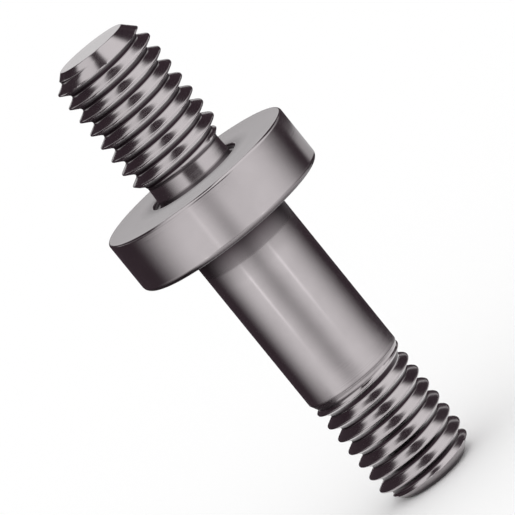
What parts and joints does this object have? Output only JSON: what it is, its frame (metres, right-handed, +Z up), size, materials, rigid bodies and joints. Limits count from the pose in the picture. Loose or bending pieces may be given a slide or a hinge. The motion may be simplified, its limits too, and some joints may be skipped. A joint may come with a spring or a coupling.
{
  "type": "shoulder bolt",
  "caption": "Double-ended shoulder bolt: a plain shank under a round collar, with a coarse right-hand thread at each end and a relieved neck above the collar.",
  "frame": {"origin": "centre of the lower end face, on the bolt's axis", "axes": "+Z up along the bolt's axis, from the lower thread past the shank and collar to the upper thread; X and Y are equal"},
  "size_m": [0.0252, 0.0252, 0.0641],
  "materials": {
    "turned_steel": "satin, fine turning marks"
  },
  "bodies": {
    "root": {"shoulder_bolt": "turned_steel"}
  },
  "joints": []
}
